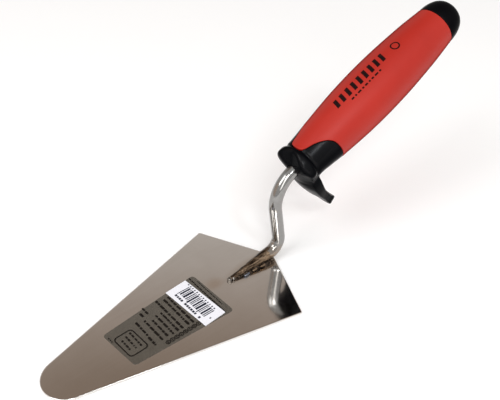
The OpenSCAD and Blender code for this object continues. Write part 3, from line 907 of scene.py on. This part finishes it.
def guard_field(s, u, y):
    rho = np.sqrt(u * u + y * y) + 1e-9
    ay = np.abs(y)
    # rounded collar, shoulder of the side lobes, and the waist between them
    low = np.clip((1.5 - u) / 7.0, 0, 1)
    low = low * low * (3 - 2 * low)
    f1 = rbox2(np.abs(s - 5.2) - 5.0, rho - (COLLAR_R - 1.9 * low), 4.4)
    R = outer_r(np.clip(s, 0, 40)) - 0.95 * np.clip((-u - 1.0) / 9.0, 0, 1) * np.exp(-((s - 14.0) / 9.0) ** 2)
    f2 = rbox2(np.maximum(9.9 - s, s - 40.0), rho - R, 1.6)
    f3 = rbox2(np.maximum(1.8 - s, s - 40.0), rho - np.minimum(R - 1.0 + 0.9 * low, 12.6 + 0.8 * low), 0.5 + 0.5 * low)
    f = smin(smin(f1, f3, 0.9), f2, 0.9)
    # the collar's top slopes down to the neck in a shallow valley between two round ears
    notch = (s - 1.9 - 0.48 * (u - 4.0) + 0.30 * np.sqrt(y * y + 1.5)) * 0.88
    f = smax(f, -notch, 2.0)
    # hooked guard, blended in; its front face is crowned across
    off, al, T, W = hook_plane(s, u)
    crown = 0.012 + 0.009 * np.clip((4 - u) / 10.0, 0, 1)
    a = smax(off + 0.020 * y * y - T / 2, -off - T / 2, 0.3)
    b = ay - W
    tip = al - (_cum[-1] + 0.2)
    r = 0.9
    q = np.sqrt(np.maximum(a + r, 0) ** 2 + np.maximum(b + r, 0) ** 2 + np.maximum(tip + r, 0) ** 2)
    hk = q + np.minimum(np.maximum(np.maximum(a + r, b + r), tip + r), 0) - r
    # round nose at the guard's point, seen from the side
    L = _cum[-1] + 0.2 - 2.9
    nose = np.sqrt(np.maximum(al - L, 0) ** 2 + off * off) - 3.3
    hk = np.where(al > L, smax(hk, nose, 0.5), hk)
    # round the guard's outline at its point, seen from the front
    e = np.sqrt(np.maximum(al - (_cum[-1] - 4.6), 0) ** 2 + y * y) - 5.4
    hk = np.where(al > _cum[-1] - 4.6, smax(hk, e, 1.2), hk)
    f = smin(f, hk, 1.8)
    # the whole front is crowned, and leans back below the neck
    s0 = 0.35 + 0.11 * np.clip(2 - u, 0, 12) + 0.0 * s
    front = s0 + crown * y * y - s
    f = smax(f, front, 1.6 - 0.7 * low)
    # trim at the seam
    deg = np.degrees(np.arctan2(u, ay))
    deg = np.where(y > 0, far_deg(deg), deg)
    g = (s + 0.13 - seam_s(deg)) / np.sqrt(1 + (seam_g(deg) / np.maximum(rho, 5)) ** 2)
    f = smax(f, g, 0.5)
    # seat for the core, and the tang's hole
    seat = np.maximum(9.2 - s, rho - (outer_r(np.clip(s, 0, 40)) - SLEEVE_T))
    f = np.maximum(f, -seat)
    tang = np.sqrt((u - TANG_LIFT) ** 2 + y * y) - (NECK_R + 0.05)
    f = np.maximum(f, -tang)
    return f


def surface_nets(field, lo, hi, h):
    ax = [np.arange(lo[i], hi[i] + h, h) for i in range(3)]
    V = np.empty((len(ax[0]), len(ax[1]), len(ax[2])), np.float32)
    for i0 in range(0, len(ax[0]), 16):
        V[i0:i0 + 16] = field(ax[0][i0:i0 + 16, None, None], ax[1][None, :, None], ax[2][None, None, :])
    neg = V < 0
    nx, ny, nz = V.shape
    acc = np.zeros((nx - 1, ny - 1, nz - 1, 3), np.float32)
    cnt = np.zeros((nx - 1, ny - 1, nz - 1), np.float32)
    cs = [(0, 0, 0), (1, 0, 0), (0, 1, 0), (1, 1, 0), (0, 0, 1), (1, 0, 1), (0, 1, 1), (1, 1, 1)]
    sub = lambda A, c: A[c[0]:nx - 1 + c[0], c[1]:ny - 1 + c[1], c[2]:nz - 1 + c[2]]
    for a in range(8):
        for b in range(a + 1, 8):
            ca, cb = np.array(cs[a]), np.array(cs[b])
            if np.abs(ca - cb).sum() != 1:
                continue
            va, vb = sub(V, cs[a]), sub(V, cs[b])
            m = (va < 0) != (vb < 0)
            t = np.where(m, va / np.where(m, va - vb, 1), 0)
            for k in range(3):
                acc[..., k] += np.where(m, ca[k] + (cb[k] - ca[k]) * t, 0)
            cnt += m
    act = cnt > 0
    idx = -np.ones(act.shape, np.int64)
    idx[act] = np.arange(act.sum())
    I = np.argwhere(act)
    P = (I + acc[act] / cnt[act][:, None]) * h + np.array([ax[0][0], ax[1][0], ax[2][0]])
    quads = []
    for d in range(3):
        o = [0, 0, 0]; o[d] = 1
        A = V[:nx - o[0], :ny - o[1], :nz - o[2]] < 0
        B = V[o[0]:, o[1]:, o[2]:] < 0
        E = np.argwhere(A != B)
        e1, e2 = (d + 1) % 3, (d + 2) % 3
        E = E[(E[:, e1] > 0) & (E[:, e2] > 0) & (E[:, e1] < act.shape[e1]) & (E[:, e2] < act.shape[e2])]
        def cell(a1, a2):
            c = E.copy(); c[:, e1] -= a1; c[:, e2] -= a2
            return idx[c[:, 0], c[:, 1], c[:, 2]]
        q = np.stack([cell(1, 1), cell(0, 1), cell(0, 0), cell(1, 0)], 1)
        inside = A[E[:, 0], E[:, 1], E[:, 2]]
        q = np.where(inside[:, None], q, q[:, ::-1])
        quads.append(q[(q >= 0).all(1)])
    return P, np.vstack(quads)


def project(field, P, steps=4, h=0.02):
    for _ in range(steps):
        f0 = field(P[:, 0], P[:, 1], P[:, 2])
        g = np.stack([field(P[:, 0] + (h if k == 0 else 0), P[:, 1] + (h if k == 1 else 0), P[:, 2] + (h if k == 2 else 0))
                      - field(P[:, 0] - (h if k == 0 else 0), P[:, 1] - (h if k == 1 else 0), P[:, 2] - (h if k == 2 else 0))
                      for k in range(3)], 1) / (2 * h)
        g2 = np.maximum((g * g).sum(1), 0.2)
        step = (f0 / g2)[:, None] * g
        n = np.linalg.norm(step, axis=1)
        step *= np.minimum(1, 0.25 / np.maximum(n, 1e-9))[:, None]
        P = P - step
    return P


def relax(P, F, w=0.5):
    """One step of even spacing: each point moves towards the mean of its neighbours."""
    acc = np.zeros_like(P); cnt = np.zeros(len(P))
    for a in range(4):
        b = (a + 1) % 4
        for i, j in ((a, b), (b, a)):
            np.add.at(acc, F[:, i], P[F[:, j]])
            np.add.at(cnt, F[:, i], 1)
    return P * (1 - w) + w * acc / np.maximum(cnt, 1)[:, None]


def build_guard():
    h = 0.4
    P, F = surface_nets(guard_field, (-1.65, -52.08, -16.57), (31.5, 16.8, 16.5), h)
    for k in range(3):
        P = relax(P, F, 0.5)
        P = project(guard_field, P, 2)
    P = project(guard_field, P, 3)
    v = on_handle(P[:, 0], P[:, 1], P[:, 2])
    # (along, above, across) to the row frame turns the handedness over, so the faces turn too
    return add_mesh("front_guard_moulding", v, F[:, ::-1], M_BLACK, ["front_guard"], sharp=70)


build_guard()


def build_cap():
    e = GRIP_END + 0.12
    r0 = float(outer_r(np.array(e)))
    pts = [(e - 9.0, 0.0), (e - 9.0, 9.0), (e - 8.0, 10.3), (e, 10.3)]
    rr = 0.4
    for k in range(7):
        b = math.radians(90 * k / 6)
        pts.append((e + rr * (1 - math.cos(b)), r0 - 0.05 - rr * (1 - math.sin(b))))
    n = 44
    a0 = e + rr
    L = HANDLE_L - a0
    for k in range(1, n + 1):
        t = math.pi / 2 * k / n
        s = a0 + L * math.sin(t) ** 1.0
        r = (r0 - 0.05) * math.cos(t) ** 0.56
        pts.append((s, r))
    pts[-1] = (HANDLE_L, 0.0)
    v, f = revolve(pts, 128)
    return add_mesh("rear_end_cap", v, f, M_CAP, ["end_cap"], sharp=50)


build_cap()


# ---------------------------------------------------------------- generic print on the grip
def grip_patch(s0, s1, a0, a1, slant=0.0, lift_mm=0.03):
    """Thin closed patch on the sleeve: from s0 to s1 along the axis and a0 to a1 degrees round it."""
    ns, na = max(2, int((s1 - s0) / 0.7) + 1), max(2, int(abs(a1 - a0) / 2.0) + 1)
    S, A = np.meshgrid(np.linspace(s0, s1, ns), np.linspace(a0, a1, na), indexing="ij")
    S = S + slant * (A - a0) / (a1 - a0)
    layers = []
    for off in (-0.05, lift_mm):
        R = outer_r(S) + off
        layers.append(on_handle(S, R * np.sin(np.radians(A)), -R * np.cos(np.radians(A))).reshape(-1, 3))
    v = np.vstack(layers)
    m = ns * na
    top = grid_faces(ns, na, close_cols=False, flip=True, base=m)
    bot = grid_faces(ns, na, close_cols=False, flip=False)
    f = top.tolist() + bot.tolist()
    rim = [i * na for i in range(ns)] + [(ns - 1) * na + j for j in range(1, na)] + [i * na + na - 1 for i in range(ns - 2, -1, -1)] + [j for j in range(na - 2, 0, -1)]
    for i in range(len(rim)):
        a, b = rim[i], rim[(i + 1) % len(rim)]
        f.append([a, b, m + b, m + a])
    return v, f


def build_grip_print():
    parts = []
    s = 43.0
    for k in range(9):
        parts.append(grip_patch(s, s + 2.6, 77.0, 97.0, 1.6))
        s += 5.1
    s = 52.5
    for k, w in enumerate([2.0, 1.2, 2.6, 1.4, 2.2, 1.2, 1.8, 2.8, 1.4]):
        parts.append(grip_patch(s, s + w, 67.0, 70.6))
        s += w + 1.2
    # small ring
    cs, ca, r1, r2 = 97.5, 85.0, 3.1, 2.2
    n = 40
    ang = np.arange(n) * 2 * math.pi / n
    def ring_pts(r):
        S = cs + r * np.cos(ang)
        A = ca + np.degrees(r * np.sin(ang) / 17.2)
        return S, A
    layers = []
    for off in (-0.05, 0.03):
        for r in (r1, r2):
            S, A = ring_pts(r)
            R = outer_r(S) + off
            layers.append(on_handle(S, R * np.sin(np.radians(A)), -R * np.cos(np.radians(A))))
    v = np.vstack(layers)
    f = []
    for j in range(n):
        k = (j + 1) % n
        o0, i0, o1, i1 = 0, n, 2 * n, 3 * n
        f += [[o1 + j, o1 + k, i1 + k, i1 + j], [o0 + k, o0 + j, i0 + j, i0 + k],
              [o0 + j, o0 + k, o1 + k, o1 + j], [i0 + k, i0 + j, i1 + j, i1 + k]]
    parts.append((v, f))
    v, f = join(parts)
    ob = add_mesh("grip_print", v, f, M_INK_GRIP, sharp=40)
    return ob


build_grip_print()


# ---------------------------------------------------------------- labels on the blade
def hx(x):
    """Distance behind the heel's point to the row's X."""
    return HEEL_X + x


def rounded_quad(pts, r, seg=6):
    """Rounded convex outline from corner points, anticlockwise."""
    pts = np.array(pts, float)
    n = len(pts)
    out = []
    for i in range(n):
        p, a, b = pts[i], pts[i - 1], pts[(i + 1) % n]
        ua, ub = (a - p) / np.linalg.norm(a - p), (b - p) / np.linalg.norm(b - p)
        half = math.acos(np.clip(ua @ ub, -1, 1)) / 2
        c = p + (ua + ub) / np.linalg.norm(ua + ub) * r / math.sin(half)
        s, e = p + ua * r / math.tan(half), p + ub * r / math.tan(half)
        a0, a1 = math.atan2(*(s - c)[::-1]), math.atan2(*(e - c)[::-1])
        while a1 < a0:
            a1 += 2 * math.pi
        for k in range(seg + 1):
            t = a0 + (a1 - a0) * k / seg
            out.append(c + r * np.array([math.cos(t), math.sin(t)]))
    return np.array(out)


def thin_plate(outline, z0, z1, cham=0.05):
    n = len(outline)
    ins = inset(outline, cham)
    c = outline.mean(0)
    v = np.vstack([np.c_[outline, np.full(n, z0)], np.c_[outline, np.full(n, z1 - cham * 0.6)], np.c_[ins, np.full(n, z1)],
                   [[c[0], c[1], z0]], [[c[0], c[1], z1]]])
    f = []
    for i in range(n):
        j = (i + 1) % n
        f += [[i, j, n + j, n + i], [n + i, n + j, 2 * n + j, 2 * n + i], [3 * n, j, i], [3 * n + 1, 2 * n + i, 2 * n + j]]
    return v, f


FILM = [(hx(-49.2), 18.1), (hx(-116.6), 12.4), (hx(-115.0), -16.8), (hx(-49.2), -20.4)]
PAPER = [(hx(-55.3), 17.5), (hx(-70.4), 16.7), (hx(-69.2), -19.4), (hx(-54.1), -18.6)]
Z_FILM = BLADE_T + FILM_T
Z_PAPER = Z_FILM + FILM_T


def build_labels():
    v, f = thin_plate(rounded_quad(FILM, 2.2), BLADE_T + 0.004, Z_FILM)
    add_mesh("film_sticker", v, f, M_FILM, ["film_label"], sharp=30)
    v, f = thin_plate(rounded_quad(PAPER, 0.35, 3), Z_FILM + 0.002, Z_PAPER)
    add_mesh("paper_sticker", v, f, M_PAPER, ["paper_label"], sharp=30)

    # generic dashes in rows across the blade, a row of rings and an empty frame
    rng = np.random.RandomState(7)
    parts = []

    def dash_row(x, y0, y1, thick, slope=-0.04, gap=(0.45, 1.3), length=(0.8, 4.2)):
        y = y0
        while y > y1 + 0.5:
            l = min(rng.uniform(*length), y - y1)
            cx = x + slope * (0.5 * (y0 + y1) - y)
            th = thick * rng.uniform(0.78, 1.05)
            w, g = rounded_box(cx, y - l / 2, Z_FILM - 0.02, th, l, 0.045, min(th, l) * 0.3, 3)
            parts.append((w, g))
            y -= l + rng.uniform(*gap)

    dash_row(hx(-50.8), 12.0, -12.3, 0.55, -0.04, (0.25, 0.6), (0.6, 2.6))
    dash_row(hx(-53.3), 17.6, -18.6, 0.95, -0.04, (0.25, 0.6), (0.8, 3.4))
    rows = [(-72.0, 13.3, -12.8), (-75.0, 12.9, -12.2), (-79.2, 15.1, -12.4), (-82.4, 5.6, -12.2), (-85.8, 5.8, -12.4),
            (-88.0, 15.5, 9.6), (-89.3, 4.0, -12.0), (-91.4, 12.9, 8.8), (-93.0, 6.6, -12.2), (-97.4, 8.6, -4.0), (-98.2, -5.0, -12.4)]
    for x, a, b in rows:
        dash_row(hx(x), a, b, 1.5, -0.04, (0.35, 0.85), (1.2, 4.6))

    def ring(cx, cy, r, w, n=28):
        a = np.arange(n) * 2 * math.pi / n
        cs = np.stack([np.cos(a), np.sin(a)], 1)
        z0, z1 = Z_FILM - 0.02, Z_FILM + 0.025
        lay = [np.c_[cs * r + [cx, cy], np.full(n, z0)], np.c_[cs * (r - w) + [cx, cy], np.full(n, z0)],
               np.c_[cs * r + [cx, cy], np.full(n, z1)], np.c_[cs * (r - w) + [cx, cy], np.full(n, z1)]]
        v_ = np.vstack(lay)
        f_ = []
        for j in range(n):
            k = (j + 1) % n
            f_ += [[2 * n + j, 2 * n + k, 3 * n + k, 3 * n + j], [k, j, n + j, n + k], [j, k, 2 * n + k, 2 * n + j], [n + k, n + j, 3 * n + j, 3 * n + k]]
        parts.append((v_, f_))

    for k in range(8):
        x = hx(-71.0 - 3.0 * k)
        ring(x, -15.2, 1.5, 0.55)
        parts.append(rounded_box(x, -15.2, Z_FILM - 0.02, 0.6 + 0.3 * (k % 2), 1.3, 0.045, 0.2, 3))

    def frame_outline(cx, cy, lx, ly, r, w, turn):
        def ring_o(ax, ay, rr):
            o = rounded_quad([(ax, ay), (-ax, ay), (-ax, -ay), (ax, -ay)], rr, 6)
            c, s = math.cos(turn), math.sin(turn)
            return o @ np.array([[c, s], [-s, c]]) + [cx, cy]
        o, i = ring_o(lx / 2, ly / 2, r), ring_o(lx / 2 - w, ly / 2 - w, r - w * 0.6)
        n = len(o)
        z0, z1 = Z_FILM - 0.02, Z_FILM + 0.025
        v_ = np.vstack([np.c_[o, np.full(n, z0)], np.c_[i, np.full(n, z0)], np.c_[o, np.full(n, z1)], np.c_[i, np.full(n, z1)]])
        f_ = []
        for j in range(n):
            k = (j + 1) % n
            f_ += [[2 * n + j, 2 * n + k, 3 * n + k, 3 * n + j], [k, j, n + j, n + k], [j, k, 2 * n + k, 2 * n + j], [n + k, n + j, 3 * n + j, 3 * n + k]]
        parts.append((v_, f_))

    frame_outline(hx(-107.6), -2.2, 12.5, 17.5, 2.4, 0.7, 0.02)
    for x, a, b in [(-104.2, 4.6, -8.6), (-107.4, 3.6, -7.2), (-110.6, 2.4, -6.0)]:
        dash_row(hx(x), a, b, 1.25, -0.03, (0.4, 0.9), (0.9, 2.6))
    dash_row(hx(-115.0), 9.0, 4.4, 0.8, 0.0, (0.4, 0.6), (0.6, 1.4))
    v, f = join(parts)
    add_mesh("film_print", v, f, M_INK, sharp=30)

    # plain bars and ticks on the paper, of no code
    parts = []
    c0 = np.array([hx(-62.3), -0.9])
    ux = np.array([math.cos(math.radians(-1.9)), math.sin(math.radians(-1.9))])
    uy = np.array([-ux[1], ux[0]])

    def on_paper(du, dv, lu, lv):
        c = c0 + ux * du + uy * dv
        o = np.array([(lu / 2, lv / 2), (-lu / 2, lv / 2), (-lu / 2, -lv / 2), (lu / 2, -lv / 2)])
        o = o[:, :1] * ux + o[:, 1:] * uy + c
        n = 4
        z0, z1 = Z_PAPER - 0.02, Z_PAPER + 0.02
        v_ = np.vstack([np.c_[o, np.full(n, z0)], np.c_[o, np.full(n, z1)]])
        f_ = [[3, 2, 1, 0], [4, 5, 6, 7]] + [[i, (i + 1) % 4, 4 + (i + 1) % 4, 4 + i] for i in range(4)]
        parts.append((v_, f_))

    y = 12.6
    k = 0
    while y > -13.2:
        w = [0.62, 1.20, 0.55, 1.55, 0.80, 0.55, 1.30, 0.70][k % 8]
        tall = 7.6 if k % 6 else 8.8
        on_paper(0.9 + (0 if k % 6 else -0.4), y - w / 2, tall, w)
        y -= w + [0.55, 0.72, 0.50, 0.80, 0.58][k % 5]
        k += 1
    y = 12.4
    k = 0
    while y > -11.5:
        w = [1.5, 1.25, 1.6][k % 3]
        if k % 7 != 4:
            on_paper(-5.1, y - w / 2, 1.5, w)
        y -= w + 0.45
        k += 1
    # a second, finer row along the other side of the bars
    y = 14.6
    for w in (0.9, 0.9, 0.7, 0.9, 0.9, 0.9, 0.7, 0.9, 0.9, 0.9, 0.7, 0.9, 0.9):
        on_paper(5.7, y - w / 2, 1.0, w)
        y -= w + 1.25
    on_paper(-0.6, -15.6, 1.2, 0.8)
    v, f = join(parts)
    add_mesh("paper_print", v, f, M_INK_PAPER, sharp=30)


build_labels()

# the core is inside the tool; it keeps its CAD shape and takes a finished material
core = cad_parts["handle_core"]
core.data.materials.clear()
core.data.materials.append(M_CAP)

# ---------------------------------------------------------------- floor, lights, camera
def build_stage():
    me = bpy.data.meshes.new("floor")
    s = 6.0
    me.from_pydata([(-s, -s, 0), (s, -s, 0), (s, s, 0), (-s, s, 0)], [], [(0, 1, 2, 3)])
    fl = bpy.data.objects.new("floor", me)
    fl.location = (0, 0, -0.0002)
    bpy.context.scene.collection.objects.link(fl)
    m, nt, b = material("pale_floor")
    n = noise_tex(nt, coords(nt, (0.004, 0.004, 0.004)), 1.0, 2.0, 0.5)
    nt.links.new(ramp(nt, n, [(0.3, grey(0.925)), (0.7, grey(0.94))]), b.inputs["Base Color"])
    b.inputs["Roughness"].default_value = 0.9
    b.inputs["Specular IOR Level"].default_value = 0.1
    b.inputs["Emission Color"].default_value = (1, 1, 1, 1)
    b.inputs["Emission Strength"].default_value = 0.07
    me.materials.append(m)

    sc = bpy.context.scene
    w = bpy.data.worlds.new("studio")
    sc.world = w
    w.use_nodes = True
    nt = w.node_tree
    bg = nt.nodes["Background"]
    tc = nt.nodes.new("ShaderNodeTexCoord")
    sp = nt.nodes.new("ShaderNodeSeparateXYZ")
    nt.links.new(tc.outputs["Generated"], sp.inputs[0])
    # far wall of the room: warm light grey near the ground, brown above; the rest of the room is pale
    wall = ramp(nt, sp.outputs["Z"], [(0.0, (0.55, 0.53, 0.52, 1)), (0.60, (0.56, 0.53, 0.50, 1)), (0.66, (0.46, 0.42, 0.385, 1)),
                                      (0.71, (0.345, 0.29, 0.25, 1)), (0.76, (0.25, 0.195, 0.155, 1)), (0.84, (0.22, 0.17, 0.135, 1)), (1.0, (0.30, 0.25, 0.22, 1))])
    dot = node(nt, "ShaderNodeVectorMath", operation="DOT_PRODUCT")
    nt.links.new(tc.outputs["Generated"], dot.inputs[0])
    dot.inputs[1].default_value = (0.46, 0.60, 0.655)
    far = node(nt, "ShaderNodeMapRange", interpolation_type="SMOOTHSTEP")
    far.inputs["From Min"].default_value = 0.62
    far.inputs["From Max"].default_value = 0.86
    nt.links.new(dot.outputs["Value"], far.inputs["Value"])
    sky = mix_rgb(nt, far.outputs["Result"], (0.74, 0.735, 0.73, 1), wall)
    # warm patch of the room beyond the blade's left side
    dot2 = node(nt, "ShaderNodeVectorMath", operation="DOT_PRODUCT")
    nt.links.new(tc.outputs["Generated"], dot2.inputs[0])
    dot2.inputs[1].default_value = (-0.85, 0.50, 0.15)
    warm = node(nt, "ShaderNodeMapRange", interpolation_type="SMOOTHSTEP")
    warm.inputs["From Min"].default_value = 0.80
    warm.inputs["From Max"].default_value = 0.97
    nt.links.new(dot2.outputs["Value"], warm.inputs["Value"])
    sky = mix_rgb(nt, warm.outputs["Result"], sky, (0.78, 0.64, 0.54, 1))
    nt.links.new(sky, bg.inputs["Color"])
    bg.inputs["Strength"].default_value = 1.0

    def area(name, loc, target, size, power, color=(1, 1, 1)):
        d = bpy.data.lights.new(name, "AREA")
        d.shape = "RECTANGLE"
        d.size, d.size_y = size
        d.energy = power
        d.color = color
        o = bpy.data.objects.new(name, d)
        o.location = loc
        o.rotation_mode = "QUATERNION"
        o.rotation_quaternion = (Vector(target) - Vector(loc)).to_track_quat("-Z", "Y")
        bpy.context.scene.collection.objects.link(o)
        return o

    area("key", (-0.62, -1.08, 1.36), (0.02, 0, 0.03), (0.42, 0.36), 5.5, (1.0, 0.995, 0.985))
    area("glint", (-0.10, -1.27, 1.38), (0.10, 0, 0.06), (0.24, 0.24), 3.6, (0.90, 0.94, 1.0))
    area("tall", (-0.66, -1.04, 0.86), (0.02, 0, 0.03), (0.45, 1.2), 5.0, (1.0, 0.995, 0.985))
    area("top", (-1.40, 0.15, 1.65), (0.02, 0, 0.03), (1.1, 1.1), 15, (0.98, 0.99, 1.0))


build_stage()

cam = bpy.data.cameras.new("camera")
cam.sensor_width = 36.0
cam.lens = 54.0
cam.clip_start, cam.clip_end = 0.01, 50
co = bpy.data.objects.new("camera", cam)
bpy.context.scene.collection.objects.link(co)
right = Vector((0.750976, -0.660329, 0.0))
upv = Vector((0.399212, 0.454051, 0.796534))
back = right.cross(upv)
co.matrix_world = Matrix(((right.x, upv.x, back.x, -0.16312), (right.y, upv.y, back.y, -0.25481), (right.z, upv.z, back.z, 0.31153), (0, 0, 0, 1)))
bpy.context.scene.camera = co
bpy.context.scene.view_settings.view_transform = "Standard"
bpy.context.scene.view_settings.look = "None"
bpy.context.scene.view_settings.exposure = 0.0
bpy.context.scene.view_settings.gamma = 1.0
